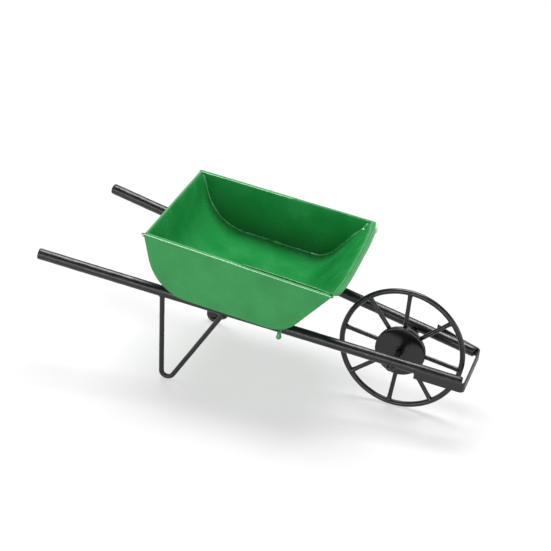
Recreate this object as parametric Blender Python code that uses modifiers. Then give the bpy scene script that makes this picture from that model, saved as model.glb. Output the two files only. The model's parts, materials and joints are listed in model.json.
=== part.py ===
"""Miniature wheelbarrow soldered from tin sheet, rod and wire. Metres, +Z up, nose towards +X.

The origin is on the ground, under the middle of the object's box. Places along the barrow are first
given as distances from the end of the right handle, and at() turns them into X.
"""
import math

import bmesh
import bpy
from mathutils import Matrix, Vector

# Rails: two straight rods that are the handles behind and the wheel fork in front.
RAIL_REACH = 0.1242  # right handle end to right nose end, along X
RAIL_DIAMETER = 0.0032
HANDLE_SPACING = 0.0532  # between the rods' centres at the handle ends
NOSE_SPACING = 0.0193  # between the rods' centres at the nose ends
RAIL_SLOPE = math.radians(7.19)  # down towards the nose
LEFT_HANDLE_SETBACK = 0.0017  # the left rod was cut a little shorter at both ends
LEFT_NOSE_SETBACK = 0.0010
ROD_END_ROUNDING = 0.0003

# Tray: two flat side plates and one bent sheet between them.
HEEL_X = 0.0454  # handle end to where the flat bottom starts, which rests on the rails
TRAY_RIM_LENGTH = 0.0566
TRAY_WIDTH = 0.0508  # over the side plates
TRAY_DEPTH = 0.0157  # rim to the underside, square to the rim
REAR_WALL_RAKE = math.radians(21.5)  # from square to the rim
FRONT_WALL_RAKE = math.radians(35.4)
HEEL_RADIUS = 0.0143
TOE_RADIUS = 0.0099
PLATE_THICKNESS = 0.0010
WRAP_THICKNESS = 0.0008
LEFT_FRONT_SETBACK = 0.0030  # the left plate's front rim corner stands this much further back
LEFT_REAR_SETBACK = 0.0014  # and so does its rear rim corner
RIGHT_REAR_RISE = 0.0005  # how much a rim corner stands over the tray's depth
LEFT_REAR_RISE = 0.0002
LEFT_FRONT_RISE = 0.0012
LIP_BULGE = 0.0014  # the front lip bows out between the plates
FILLET_DIAMETER = 0.0010
SEAM_MARGIN = 0.0014  # the sheet's side edges curl in a little along the seams
SEAM_CURL = 0.0001

# A cross wire under the toe lifts the tray off the rails; solder beads hold the heel.
CROSS_WIRE_X = 0.0733
CROSS_WIRE_DIAMETER = 0.0013
CROSS_WIRE_OVERHANG = 0.0082  # past the rails' centre lines
CROSS_WIRE_HOOK = 0.0018  # the right end is bent down by this much, round the radius below
CROSS_WIRE_BEND = 0.0010
TOE_RISE = 0.00016  # the toe's curve has just begun over the wire
HEEL_SOLDER_DIAMETER = 0.0012
HEEL_SOLDER_LENGTH = 0.0050

# Legs: one wire each, bent to a V.
LEG_DIAMETER = 0.0014
UPRIGHT_RISE = 1e9  # metres up for each metre along, of a strand with no rake
FOOT_X = 0.0403
FOOT_BEND_RADIUS = 0.0019  # of the wire's centre line
FOOT_TOE_IN = 0.0012  # a foot stands this much inside the line of its rail
REAR_STRAND_RAKE = math.radians(5.5)
FRONT_STRAND_RAKE = math.radians(29.1)
COLLAR_DIAMETER = 0.0030
COLLAR_HEIGHT = 0.0012

# Nose bow: a flat strip bent round the rail ends.
BOW_HEIGHT = 0.0029
BOW_THICKNESS = 0.0005
BOW_LENGTH = 0.0138  # crossbar to the strip's rear ends
BOW_DROP = 0.0008  # the strip's middle lies this much below the rods' centres
BOW_CORNER_RADIUS = 0.0013
BOW_NOSE_GAP = 0.0007  # rod ends to the crossbar
BOW_LEFT_RISE = 0.0017  # the left arm's rear end stands up by this much

# Wheel and axle.
WHEEL_X = 0.1038
WHEEL_DIAMETER = 0.0375
WHEEL_OFFSET = -0.0012  # the loose wheel stands this far to the right of the middle
RIM_DIAMETER = 0.0016
SPOKE_DIAMETER = 0.0013
SPOKE_COUNT = 8
SPOKE_PHASE = math.radians(-4.5)
SPOKE_ERRORS = (-3.2, 1.2, 4.2, -0.2, -3.8, -1.2, -0.4, -3.7)  # degrees, laid by hand
RIGHT_DISC_DIAMETER = 0.0150
RIGHT_DISC_THICKNESS = 0.0015
LEFT_DISC_DIAMETER = 0.0124
LEFT_DISC_THICKNESS = 0.0008
HUB_TUBE_DIAMETER = 0.0032
AXLE_DIAMETER = 0.0018
AXLE_DROP = 0.0012  # the axle lies this far under the rods' centre lines, in notches
AXLE_OVERHANG = 0.0006  # past the rods' centre lines
SADDLE_THICKNESS = 0.0006
SADDLE_WIDTH = 0.0022
SADDLE_TOP_SINES = (0.1, 0.95)  # a saddle's edges start this far down the axle's sides, at least and at most

TOUCH = 0.0003  # between pieces that are soldered or rest on each other
RUNNING = 0.0003  # between the axle and what turns on it

GREEN = (0.045, 0.36, 0.10)
BLACK = (0.012, 0.012, 0.013)

parts = bpy.data.collections.new("wheelbarrow")
cutters = bpy.data.collections.new("cutters")


# ---------------------------------------------------------------- shared places

def rail_axis():
    """Unit vector along the right rail, handle to nose, and its slopes across and down per metre of X."""
    across = (HANDLE_SPACING - NOSE_SPACING) / 2 / RAIL_REACH
    down = math.tan(RAIL_SLOPE)
    return Vector((1, across, -down)).normalized(), across, down


RAIL_DIRECTION, RAIL_TAPER, RAIL_FALL = rail_axis()
RAIL_RADIUS = RAIL_DIAMETER / 2
WHEEL_RADIUS = WHEEL_DIAMETER / 2
REAR_OVERHANG = (RAIL_RADIUS - ROD_END_ROUNDING) * math.sqrt(1 - RAIL_DIRECTION.x ** 2)  # tilted end disc
BOW_FRONT = RAIL_REACH + BOW_NOSE_GAP + BOW_THICKNESS
MIDDLE = (BOW_FRONT - REAR_OVERHANG) / 2


def at(distance):
    """X of a place given as a distance from the end of the right handle."""
    return distance - MIDDLE


def rail_y(distance):
    """Distance of a rail's centre line from the middle plane."""
    return HANDLE_SPACING / 2 - RAIL_TAPER * distance


def rail_z(distance):
    """Height of a rail's centre line, which passes just over the axle."""
    return WHEEL_RADIUS + AXLE_DROP + RAIL_FALL * (WHEEL_X - distance)


def rail_half_height():
    """Vertical distance from a rail's centre line to its top or bottom."""
    return RAIL_RADIUS * math.sqrt(1 + RAIL_FALL ** 2)


# ---------------------------------------------------------------- shared tools

def finish(obj, colour, roughness, metallic=0.0):
    """Gives the object its own material."""
    material = bpy.data.materials.new(obj.name + "_finish")
    material.use_nodes = True
    shader = material.node_tree.nodes["Principled BSDF"]
    shader.inputs["Base Color"].default_value = (*colour, 1)
    shader.inputs["Roughness"].default_value = roughness
    shader.inputs["Metallic"].default_value = metallic
    material.diffuse_color = (*colour, 1)
    obj.data.materials.append(material)


def place(name, data, parent=None, location=(0, 0, 0), rotation=(0, 0, 0)):
    """Puts mesh or curve data in the parts collection as a named object."""
    obj = bpy.data.objects.new(name, data)
    parts.objects.link(obj)
    obj.parent = parent
    obj.location = location
    obj.rotation_euler = rotation
    return obj


def empty(name, location, rotation=(0, 0, 0)):
    """An empty that carries the pieces of one assembly."""
    return place(name, None, None, location, rotation)


def mesh_from(name, bm, smooth_angle=math.radians(40)):
    """Turns a bmesh into smooth-shaded mesh data."""
    mesh = bpy.data.meshes.new(name)
    bm.to_mesh(mesh)
    bm.free()
    mesh.shade_smooth()
    mesh.set_sharp_from_angle(angle=smooth_angle)
    return mesh


def wire(name, points, diameter, rounding=0.0, parent=None, fineness=4):
    """A round rod or wire along the points, with filled caps and, if asked, rounded ends."""
    curve = bpy.data.curves.new(name, "CURVE")
    curve.dimensions = "3D"
    curve.bevel_depth = diameter / 2
    curve.bevel_resolution = fineness
    curve.use_fill_caps = True
    spline = curve.splines.new("POLY")
    spline.points.add(len(points) - 1)
    for knot, point in zip(spline.points, points):
        knot.co = (*point, 1)
    obj = place(name, curve, parent)
    if rounding:
        weld = obj.modifiers.new("weld caps", "WELD")
        weld.merge_threshold = 0.00001
        bevel = obj.modifiers.new("round ends", "BEVEL")
        bevel.width = rounding
        bevel.segments = 2
        bevel.limit_method = "ANGLE"
        bevel.angle_limit = math.radians(60)
    return obj


def turned(name, profile, parent, location, rotation, steps=40):
    """A ring turned about its own Z: the closed profile runs down its outer side and up its inner side."""
    bm = bmesh.new()
    ring = [bm.verts.new((radius, 0, height)) for radius, height in profile]
    for first, second in zip(ring, ring[1:] + ring[:1]):
        bm.edges.new((first, second))
    obj = place(name, mesh_from(name, bm), parent, location, rotation)
    screw = obj.modifiers.new("turn", "SCREW")
    screw.axis = "Z"
    screw.steps = steps
    screw.render_steps = steps
    screw.use_merge_vertices = True
    screw.merge_threshold = 0.00001
    return obj


def rounded_path(corners, radii, steps=8):
    """Points along a chain of straight lines whose inner corners are rounded to the radii."""
    path = [Vector(corners[0])]
    for i, radius in enumerate(radii, start=1):
        corner = Vector(corners[i])
        incoming = (corner - Vector(corners[i - 1])).normalized()
        outgoing = (Vector(corners[i + 1]) - corner).normalized()
        turn = incoming.angle_signed(outgoing)
        reach = radius * math.tan(abs(turn) / 2)
        start = corner - incoming * reach
        side = Vector((-incoming.y, incoming.x)) * (-1 if turn > 0 else 1)
        centre = start + side * radius
        spoke = start - centre
        for k in range(steps + 1):
            path.append(centre + Matrix.Rotation(-turn * k / steps, 2) @ spoke)
    path.append(Vector(corners[-1]))
    return path


def offset_path(path, distance):
    """The path moved sideways by a distance to its left."""
    moved = []
    for i, point in enumerate(path):
        before = path[max(i - 1, 0)]
        after = path[min(i + 1, len(path) - 1)]
        along = (after - before).normalized()
        moved.append(point + Vector((-along.y, along.x)) * distance)
    return moved


# ---------------------------------------------------------------- rails

def make_rails():
    """Two straight rods from the handle ends to the nose ends, notched underneath for the axle."""
    bm = bmesh.new()
    bmesh.ops.create_cone(bm, cap_ends=True, segments=24, radius1=AXLE_DIAMETER / 2 + TOUCH,
                          radius2=AXLE_DIAMETER / 2 + TOUCH, depth=HANDLE_SPACING)
    cutter = bpy.data.objects.new("axle_notch_cutter", mesh_from("axle_notch_cutter", bm))
    cutters.objects.link(cutter)
    cutter.location = (at(WHEEL_X), 0, WHEEL_RADIUS)
    cutter.rotation_euler = (math.pi / 2, 0, 0)
    cutter.hide_render = True
    cutter.display_type = "WIRE"
    for name, side, rear, front in (
        ("rail_right", -1, 0, RAIL_REACH),
        ("rail_left", 1, LEFT_HANDLE_SETBACK, RAIL_REACH - LEFT_NOSE_SETBACK),
    ):
        start, end = [Vector((at(s), side * rail_y(s), rail_z(s))) for s in (rear, front)]
        bm = bmesh.new()
        bmesh.ops.create_cone(bm, cap_ends=True, segments=24, radius1=RAIL_RADIUS, radius2=RAIL_RADIUS,
                              depth=(end - start).length)
        turn = (end - start).to_track_quat("Z", "X").to_euler()
        rail = place(name, mesh_from(name, bm), None, (start + end) / 2, turn)
        bevel = rail.modifiers.new("round ends", "BEVEL")
        bevel.width = ROD_END_ROUNDING
        bevel.segments = 2
        bevel.limit_method = "ANGLE"
        bevel.angle_limit = math.radians(60)
        notch = rail.modifiers.new("axle notch", "BOOLEAN")
        notch.object = cutter
        finish(rail, BLACK, 0.25)


# ---------------------------------------------------------------- tray

def tray_corners():
    """Rear rim, heel corner, toe corner and front rim in the tray's frame, whose origin is at the heel."""
    heel_corner = -HEEL_RADIUS * math.tan((math.pi / 2 - REAR_WALL_RAKE) / 2)
    rear_rim = heel_corner - TRAY_DEPTH * math.tan(REAR_WALL_RAKE)
    front_rim = rear_rim + TRAY_RIM_LENGTH
    toe_corner = front_rim - TRAY_DEPTH * math.tan(FRONT_WALL_RAKE)
    return [(rear_rim, TRAY_DEPTH), (heel_corner, 0), (toe_corner, 0), (front_rim, TRAY_DEPTH)]


def tray_path(inset=0.0):
    """Outer line of the sheet in the tray's own frame, from the rear rim to the front rim."""
    path = rounded_path(tray_corners(), (HEEL_RADIUS, TOE_RADIUS))
    return offset_path(path, inset) if inset else path


def tray_tilt():
    """Nose-down angle of the tray, which rests on the rails at the heel and on the cross wire at the toe."""
    climb = CROSS_WIRE_DIAMETER + TOUCH
    run = CROSS_WIRE_X - HEEL_X
    return math.atan((RAIL_FALL * run - climb + TOE_RISE) / run)


def tray_point(point, across):
    """A point of a tray line (along, up), shaped for its place across, in the tray's own frame."""
    along, height = point[0], point[1]
    rear_rim, _, toe, front_rim = [corner[0] for corner in tray_corners()]
    half = TRAY_WIDTH / 2
    leftness = (across + half) / TRAY_WIDTH
    share = min(max(height / TRAY_DEPTH, 0), 1)
    forward = min(max((along - toe / 2) / (toe / 2), 0), 1)
    backward = share if along < 0 else 0
    bulge = LIP_BULGE * share ** 2 * (1 - (across / half) ** 4) if along > toe / 2 else 0
    shift = bulge - leftness * (LEFT_FRONT_SETBACK * forward + LEFT_REAR_SETBACK * backward)
    travelled = (along - rear_rim) / (front_rim - rear_rim)
    rear_rise = RIGHT_REAR_RISE + (LEFT_REAR_RISE - RIGHT_REAR_RISE) * leftness
    front_rise = LEFT_FRONT_RISE * leftness
    rise = share * (rear_rise + (front_rise - rear_rise) * travelled)
    return Vector((along + shift, across, height + rise))


def make_tray(tray):
    """Side plates, wrap and seam fillets."""
    outer_face = TRAY_WIDTH / 2
    inner_face = outer_face - PLATE_THICKNESS
    for name, side in (("tray_side_right", -1), ("tray_side_left", 1)):
        bm = bmesh.new()
        start = outer_face if side > 0 else -inner_face
        outline = [bm.verts.new(tray_point(point, side * outer_face)) for point in tray_path()]
        for vert in outline:
            vert.co.y = start
        face = bm.faces.new(outline)
        grown = bmesh.ops.extrude_face_region(bm, geom=[face])
        moved = [item for item in grown["geom"] if isinstance(item, bmesh.types.BMVert)]
        bmesh.ops.translate(bm, verts=moved, vec=(0, -PLATE_THICKNESS, 0))
        bmesh.ops.recalc_face_normals(bm, faces=bm.faces)
        plate = place(name, mesh_from(name, bm), tray)
        bevel = plate.modifiers.new("soft edges", "BEVEL")
        bevel.width = PLATE_THICKNESS / 4
        bevel.segments = 1
        bevel.limit_method = "ANGLE"
        bevel.angle_limit = math.radians(60)
        finish(plate, GREEN, 0.3)

    half = inner_face - TOUCH
    columns = 10
    step = 2 * (half - SEAM_MARGIN) / columns
    stations = [-half] + [-half + SEAM_MARGIN + step * k for k in range(columns + 1)] + [half]
    bm = bmesh.new()
    rows = []
    for across in stations:
        path = tray_path(SEAM_CURL if abs(across) == half else 0)
        row = [bm.verts.new(tray_point(point, across)) for point in path]
        rows.append([bm.edges.new(pair) for pair in zip(row, row[1:])])
    for first, second in zip(rows, rows[1:]):
        bmesh.ops.bridge_loops(bm, edges=first + second)
    bmesh.ops.recalc_face_normals(bm, faces=bm.faces)
    if sum(face.normal.z for face in bm.faces) > 0:
        bmesh.ops.reverse_faces(bm, faces=bm.faces)
    wrap = place("tray_wrap", mesh_from("tray_wrap", bm), tray)
    wall = wrap.modifiers.new("sheet", "SOLIDIFY")
    wall.thickness = WRAP_THICKNESS
    wall.offset = -1
    wall.use_even_offset = True
    finish(wrap, GREEN, 0.3)

    clear = TOUCH + FILLET_DIAMETER / 2
    seam = tray_path(WRAP_THICKNESS + SEAM_CURL + clear)[1:-1]
    for name, side in (("seam_fillet_right", -1), ("seam_fillet_left", 1)):
        across = side * (inner_face - clear)
        points = [tray_point(point, across) for point in seam]
        fillet = wire(name, points, FILLET_DIAMETER, parent=tray, fineness=2)
        finish(fillet, GREEN, 0.3)


def make_tray_supports():
    """Beads on the rails' inner sides at the heel, and the cross wire on the rails under the toe."""
    radius = HEEL_SOLDER_DIAMETER / 2
    underside = rail_z(HEEL_X) + rail_half_height() + TOUCH
    tilt = math.tan(tray_tilt())
    for name, side in (("tray_solder_right", -1), ("tray_solder_left", 1)):
        ends = []
        for s in (HEEL_X, HEEL_X + HEEL_SOLDER_LENGTH):
            height = underside - (s - HEEL_X) * tilt - TOUCH - radius
            reach = RAIL_RADIUS + TOUCH * 1.5 + radius
            out = math.sqrt(max(reach ** 2 - (height - rail_z(s)) ** 2, 0))
            ends.append((at(s), side * (rail_y(s) - out), height))
        finish(wire(name, ends, HEEL_SOLDER_DIAMETER, radius / 2), GREEN, 0.3)

    height = rail_z(CROSS_WIRE_X) + rail_half_height() + TOUCH + CROSS_WIRE_DIAMETER / 2
    end = rail_y(CROSS_WIRE_X) + CROSS_WIRE_OVERHANG
    corners = [(-end, height - CROSS_WIRE_HOOK), (-end, height), (end, height)]
    points = [(at(CROSS_WIRE_X), across, up) for across, up in rounded_path(corners, (CROSS_WIRE_BEND,))]
    finish(wire("tray_cross_wire", points, CROSS_WIRE_DIAMETER, CROSS_WIRE_DIAMETER / 5, fineness=5), GREEN, 0.3)


# ---------------------------------------------------------------- legs

def leg_strand_top(start, rake):
    """Where a strand that leaves start at a rake (along, up) ends, just under the rail."""
    lean = abs(rake - math.atan(RAIL_FALL)) if rake > 0 else abs(rake) + math.atan(RAIL_FALL)
    clear = (RAIL_RADIUS + TOUCH + LEG_DIAMETER / 2 * math.sin(lean)) * math.sqrt(1 + RAIL_FALL ** 2)
    rise_per_metre = 1 / math.tan(rake) if rake else UPRIGHT_RISE
    along = (rail_z(start.x) - clear - start.y) / (rise_per_metre + RAIL_FALL)
    return Vector((start.x + along, start.y + along * rise_per_metre)), lean


def leg_place(point, side):
    """A point of a leg's outline (along, up) in its plane, which toes in from the rail to the foot."""
    toe_in = FOOT_TOE_IN * (1 - point.y / rail_z(point.x))
    return Vector((at(point.x), side * (rail_y(point.x) - toe_in), point.y))


def make_legs():
    """Two V-bent wires with a collar of solder at each strand's top."""
    centre = Vector((FOOT_X, LEG_DIAMETER / 2 + FOOT_BEND_RADIUS))
    steps = 12
    first = math.pi + REAR_STRAND_RAKE
    last = 2 * math.pi - FRONT_STRAND_RAKE
    bend = []
    for k in range(steps + 1):
        angle = first + (last - first) * k / steps
        bend.append(centre + Vector((math.cos(angle), math.sin(angle))) * FOOT_BEND_RADIUS)
    lowest = min(point.y for point in bend)
    for point in bend:
        point.y += LEG_DIAMETER / 2 - lowest
    rear_top, rear_lean = leg_strand_top(bend[0], -REAR_STRAND_RAKE)
    front_top, front_lean = leg_strand_top(bend[-1], FRONT_STRAND_RAKE)
    for side, word in ((-1, "right"), (1, "left")):
        points = [leg_place(point, side) for point in [rear_top] + bend + [front_top]]
        leg = wire("leg_" + word, points, LEG_DIAMETER)
        finish(leg, BLACK, 0.3)
        for top, below, lean, end in (
            (points[0], points[1], rear_lean, "rear"),
            (points[-1], points[-2], front_lean, "front"),
        ):
            down = (below - top).normalized()
            back_off = (COLLAR_DIAMETER - LEG_DIAMETER) / 2 * math.tan(lean)
            middle = top + down * (back_off + COLLAR_HEIGHT / 2)
            bore = LEG_DIAMETER / 2 + TOUCH
            outside = COLLAR_DIAMETER / 2
            half = COLLAR_HEIGHT / 2
            profile = [(outside, half), (outside, 0), (bore + TOUCH / 2, -half), (bore, -half), (bore, half)]
            turn = (-down).to_track_quat("Z", "X").to_euler()
            collar = turned("leg_solder_%s_%s" % (word, end), profile, None, middle, turn, steps=20)
            finish(collar, BLACK, 0.3)


# ---------------------------------------------------------------- nose bow

def make_bow():
    """One flat strip: back along the right rail, across the nose and back along the left rail."""
    out = RAIL_RADIUS * math.sqrt(1 + RAIL_TAPER ** 2) + TOUCH + BOW_THICKNESS / 2
    crossbar = BOW_NOSE_GAP + BOW_THICKNESS / 2
    right_front = RAIL_REACH + crossbar
    left_front = RAIL_REACH - LEFT_NOSE_SETBACK + crossbar
    right_rear = right_front - BOW_LENGTH
    left_rear = left_front - BOW_LENGTH
    corners = [
        (at(right_rear), -rail_y(right_rear) - out),
        (at(right_front), -rail_y(right_front) - out),
        (at(left_front), rail_y(left_front) + out),
        (at(left_rear), rail_y(left_rear) + out),
    ]
    path = rounded_path(corners, (BOW_CORNER_RADIUS, BOW_CORNER_RADIUS), 6)
    bm = bmesh.new()
    chain = []
    for point in path:
        s = point.x + MIDDLE
        back = max(left_front - s, 0) / BOW_LENGTH
        rise = BOW_LEFT_RISE * back ** 1.5 if point.y > 0 else 0
        middle = rail_z(s) - BOW_DROP + rise
        chain.append(bm.verts.new((point.x, point.y, middle - BOW_HEIGHT / 2)))
    edges = [bm.edges.new(pair) for pair in zip(chain, chain[1:])]
    grown = bmesh.ops.extrude_edge_only(bm, edges=edges)
    moved = [item for item in grown["geom"] if isinstance(item, bmesh.types.BMVert)]
    bmesh.ops.translate(bm, verts=moved, vec=(0, 0, BOW_HEIGHT))
    bmesh.ops.recalc_face_normals(bm, faces=bm.faces)
    bow = place("front_bow", mesh_from("front_bow", bm))
    wall = bow.modifiers.new("strip", "SOLIDIFY")
    wall.thickness = BOW_THICKNESS
    wall.offset = 0
    wall.use_even_offset = True
    finish(bow, BLACK, 0.3)


# ---------------------------------------------------------------- wheel and axle

def make_axle():
    """The axle in its notches, and the saddle of solder that holds it up under each rail."""
    end = rail_y(WHEEL_X) + AXLE_OVERHANG
    ends = [(at(WHEEL_X), -end, WHEEL_RADIUS), (at(WHEEL_X), end, WHEEL_RADIUS)]
    finish(wire("axle", ends, AXLE_DIAMETER, fineness=5), BLACK, 0.3)
    inner = AXLE_DIAMETER / 2 + TOUCH
    outer = inner + SADDLE_THICKNESS
    under_rail = rail_half_height() - AXLE_DROP + RAIL_FALL * inner + TOUCH
    least, most = SADDLE_TOP_SINES
    top = math.asin(min(max(under_rail / inner, least), most))
    steps = 10
    angles = [-top - (math.pi - 2 * top) * k / steps for k in range(steps + 1)]
    rim = [(outer, angle) for angle in angles] + [(inner, angle) for angle in reversed(angles)]
    for name, side in (("axle_solder_right", -1), ("axle_solder_left", 1)):
        bm = bmesh.new()
        verts = [bm.verts.new((radius * math.cos(angle), 0, radius * math.sin(angle))) for radius, angle in rim]
        grown = bmesh.ops.extrude_face_region(bm, geom=[bm.faces.new(verts)])
        moved = [item for item in grown["geom"] if isinstance(item, bmesh.types.BMVert)]
        bmesh.ops.translate(bm, verts=moved, vec=(0, SADDLE_WIDTH, 0))
        bmesh.ops.recalc_face_normals(bm, faces=bm.faces)
        across = side * rail_y(WHEEL_X) - SADDLE_WIDTH / 2
        saddle = place(name, mesh_from(name, bm), None, (at(WHEEL_X), across, WHEEL_RADIUS))
        finish(saddle, BLACK, 0.3)


def make_wheel():
    """Rim, spokes, hub discs and hub tube, all carried by an empty on the wheel's axis."""
    hub = empty("wheel_axis", (at(WHEEL_X), WHEEL_OFFSET, WHEEL_RADIUS))
    rim_centre_line = WHEEL_RADIUS - RIM_DIAMETER / 2
    bpy.ops.mesh.primitive_torus_add(major_radius=rim_centre_line, minor_radius=RIM_DIAMETER / 2,
                                     major_segments=72, minor_segments=10)
    rim = bpy.context.object
    for holder in list(rim.users_collection):
        holder.objects.unlink(rim)
    parts.objects.link(rim)
    rim.name = "wheel_rim"
    rim.parent = hub
    rim.rotation_euler = (math.pi / 2, 0, 0)
    rim.data.shade_smooth()
    finish(rim, BLACK, 0.3)

    across = (-math.pi / 2, 0, 0)
    tube_bore = AXLE_DIAMETER / 2 + RUNNING
    tube_outside = HUB_TUBE_DIAMETER / 2
    disc_bore = tube_outside + TOUCH
    disc_face = SPOKE_DIAMETER / 2 + TOUCH
    for name, side, diameter, thickness in (
        ("hub_disc_right", -1, RIGHT_DISC_DIAMETER, RIGHT_DISC_THICKNESS),
        ("hub_disc_left", 1, LEFT_DISC_DIAMETER, LEFT_DISC_THICKNESS),
    ):
        outside = diameter / 2
        half = thickness / 2
        soft = thickness / 4
        profile = [(outside - soft, half), (outside, half - soft), (outside, soft - half),
                   (outside - soft, -half), (disc_bore, -half), (disc_bore, half)]
        spot = (0, side * (disc_face + half), 0)
        finish(turned(name, profile, hub, spot, across, steps=56), BLACK, 0.2)

    low = -(disc_face + LEFT_DISC_THICKNESS + TOUCH)
    high = disc_face + RIGHT_DISC_THICKNESS + TOUCH
    profile = [(tube_outside, high), (tube_outside, low), (tube_bore, low), (tube_bore, high)]
    finish(turned("hub_tube", profile, hub, (0, 0, 0), (math.pi / 2, 0, 0), steps=24), BLACK, 0.3)

    inner_end = tube_outside + TOUCH + SPOKE_DIAMETER / 2
    outer_end = rim_centre_line - RIM_DIAMETER / 2 - TOUCH
    for index in range(SPOKE_COUNT):
        error = math.radians(SPOKE_ERRORS[index % len(SPOKE_ERRORS)])
        angle = SPOKE_PHASE + 2 * math.pi * index / SPOKE_COUNT + error
        name = "spoke_%d" % (index + 1)
        spoke = wire(name, [(inner_end, 0, 0), (outer_end, 0, 0)], SPOKE_DIAMETER, parent=hub)
        spoke.rotation_euler = (0, -angle, 0)
        finish(spoke, BLACK, 0.3)


# ---------------------------------------------------------------- the whole barrow

def main():
    """Builds every piece in an emptied scene."""
    for item in list(bpy.data.objects):
        bpy.data.objects.remove(item, do_unlink=True)
    bpy.context.scene.collection.children.link(parts)
    bpy.context.scene.collection.children.link(cutters)
    make_rails()
    rest = rail_z(HEEL_X) + rail_half_height() + TOUCH
    make_tray(empty("tray_frame", (at(HEEL_X), 0, rest), (0, tray_tilt(), 0)))
    make_tray_supports()
    make_legs()
    make_bow()
    make_axle()
    make_wheel()
    bpy.context.view_layer.update()


main()
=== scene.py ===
import json
import math

import bmesh
import bpy
from mathutils import Matrix, Vector, noise


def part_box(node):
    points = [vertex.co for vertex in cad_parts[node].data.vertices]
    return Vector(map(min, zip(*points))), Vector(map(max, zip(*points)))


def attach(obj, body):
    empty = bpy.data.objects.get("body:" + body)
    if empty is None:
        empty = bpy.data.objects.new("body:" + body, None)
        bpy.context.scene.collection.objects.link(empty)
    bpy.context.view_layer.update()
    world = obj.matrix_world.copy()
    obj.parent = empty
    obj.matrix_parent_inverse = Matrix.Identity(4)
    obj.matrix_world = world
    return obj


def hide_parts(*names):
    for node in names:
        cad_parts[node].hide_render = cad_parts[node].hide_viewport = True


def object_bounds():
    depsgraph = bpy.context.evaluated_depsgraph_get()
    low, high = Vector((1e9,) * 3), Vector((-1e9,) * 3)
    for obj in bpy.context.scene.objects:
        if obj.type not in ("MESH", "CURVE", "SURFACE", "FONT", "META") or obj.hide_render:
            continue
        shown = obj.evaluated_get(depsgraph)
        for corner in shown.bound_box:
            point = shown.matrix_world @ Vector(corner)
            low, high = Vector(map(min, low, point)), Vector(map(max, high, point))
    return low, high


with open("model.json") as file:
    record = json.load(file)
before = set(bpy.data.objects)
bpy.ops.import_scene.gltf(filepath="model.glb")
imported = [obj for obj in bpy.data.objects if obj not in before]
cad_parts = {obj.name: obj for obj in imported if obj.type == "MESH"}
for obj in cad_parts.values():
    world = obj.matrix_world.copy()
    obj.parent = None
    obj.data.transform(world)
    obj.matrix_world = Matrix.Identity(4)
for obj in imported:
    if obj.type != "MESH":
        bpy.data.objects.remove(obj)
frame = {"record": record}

mm = 0.001
sharpEdge = math.radians(50)  # edges sharper than this stay creased or are rounded
weldGap = 0.0001 * mm
cadLow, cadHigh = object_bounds()
print("wheelbarrow: frame loaded")


def makeCamera():
    view = {"azimuth": 15.28, "elevation": 26.53, "roll": 7.18, "distance": 0.6558, "lens": 147.8,
            "pastMiddle": (0.83, 0.1, 7.54)}  # in millimetres
    aim = (cadLow + cadHigh) / 2 + Vector(view["pastMiddle"]) * mm
    turn, rise, roll = (math.radians(view[key]) for key in ("azimuth", "elevation", "roll"))
    back = Vector((math.sin(turn) * math.cos(rise), -math.cos(turn) * math.cos(rise), math.sin(rise)))
    level = Vector((math.cos(turn), math.sin(turn), 0))
    up = back.cross(level)
    right = level * math.cos(roll) + up * math.sin(roll)
    top = up * math.cos(roll) - level * math.sin(roll)
    data = bpy.data.cameras.new("tableCamera")
    data.lens = view["lens"]
    data.sensor_width = 36
    data.clip_start = 0.01
    data.clip_end = 50
    camera = bpy.data.objects.new("tableCamera", data)
    bpy.context.scene.collection.objects.link(camera)
    matrix = Matrix((right, top, back)).transposed().to_4x4()
    matrix.translation = aim + back * view["distance"]
    camera.matrix_world = matrix
    bpy.context.scene.camera = camera


def makeLights():
    lamps = {
        "topSoftbox": {"at": (-0.08, 0.20, 0.75), "aim": (0, 0, 0), "size": (0.5, 0.35), "power": 8.0},
        "lowFrontFill": {"at": (-0.10, -0.95, 0.16), "aim": (0, 0, 0.02), "size": (1.2, 0.24), "power": 4.2},
        "noseFill": {"at": (0.9, -0.1, 0.25), "aim": (0, 0, 0.02), "size": (0.5, 0.4), "power": 1.0},
    }
    room = {"walls": 1.05, "ceiling": 0.16, "bright": (0.40, 0.62)}  # heights are sines of the elevation
    for name, lamp in lamps.items():
        data = bpy.data.lights.new(name, "AREA")
        data.shape = "RECTANGLE"
        data.size, data.size_y = lamp["size"]
        data.energy = lamp["power"]
        light = bpy.data.objects.new(name, data)
        bpy.context.scene.collection.objects.link(light)
        light.location = lamp["at"]
        away = Vector(lamp["at"]) - Vector(lamp["aim"])
        light.rotation_euler = away.to_track_quat("Z", "Y").to_euler()
    world = bpy.data.worlds.new("whiteRoom")
    bpy.context.scene.world = world
    world.use_nodes = True
    tree = world.node_tree
    skyward = addNode(tree, "ShaderNodeTexCoord").outputs["Generated"]
    height = addNode(tree, "ShaderNodeSeparateXYZ", {"Vector": skyward})
    fade = addNode(tree, "ShaderNodeMapRange", {"Value": height.outputs["Z"], "From Min": room["bright"][0],
                                                "From Max": room["bright"][1], "To Min": room["walls"],
                                                "To Max": room["ceiling"]})
    tree.links.new(fade.outputs["Result"], tree.nodes["Background"].inputs["Strength"])
    tree.nodes["Background"].inputs["Color"].default_value = (1, 1, 1, 1)
    bpy.context.scene.view_settings.view_transform = "Standard"


def linearColour(hexCode):
    channels = [int(hexCode[i:i + 2], 16) / 255 for i in (1, 3, 5)]
    return tuple(c / 12.92 if c <= 0.04045 else ((c + 0.055) / 1.055) ** 2.4 for c in channels) + (1,)


def addNode(tree, kind, inputs=None, **settings):
    node = tree.nodes.new(kind)
    for name, value in settings.items():
        setattr(node, name, value)
    for socket, value in (inputs or {}).items():
        if isinstance(value, bpy.types.NodeSocket):
            tree.links.new(value, node.inputs[socket])
        else:
            node.inputs[socket].default_value = value
    return node


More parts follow.
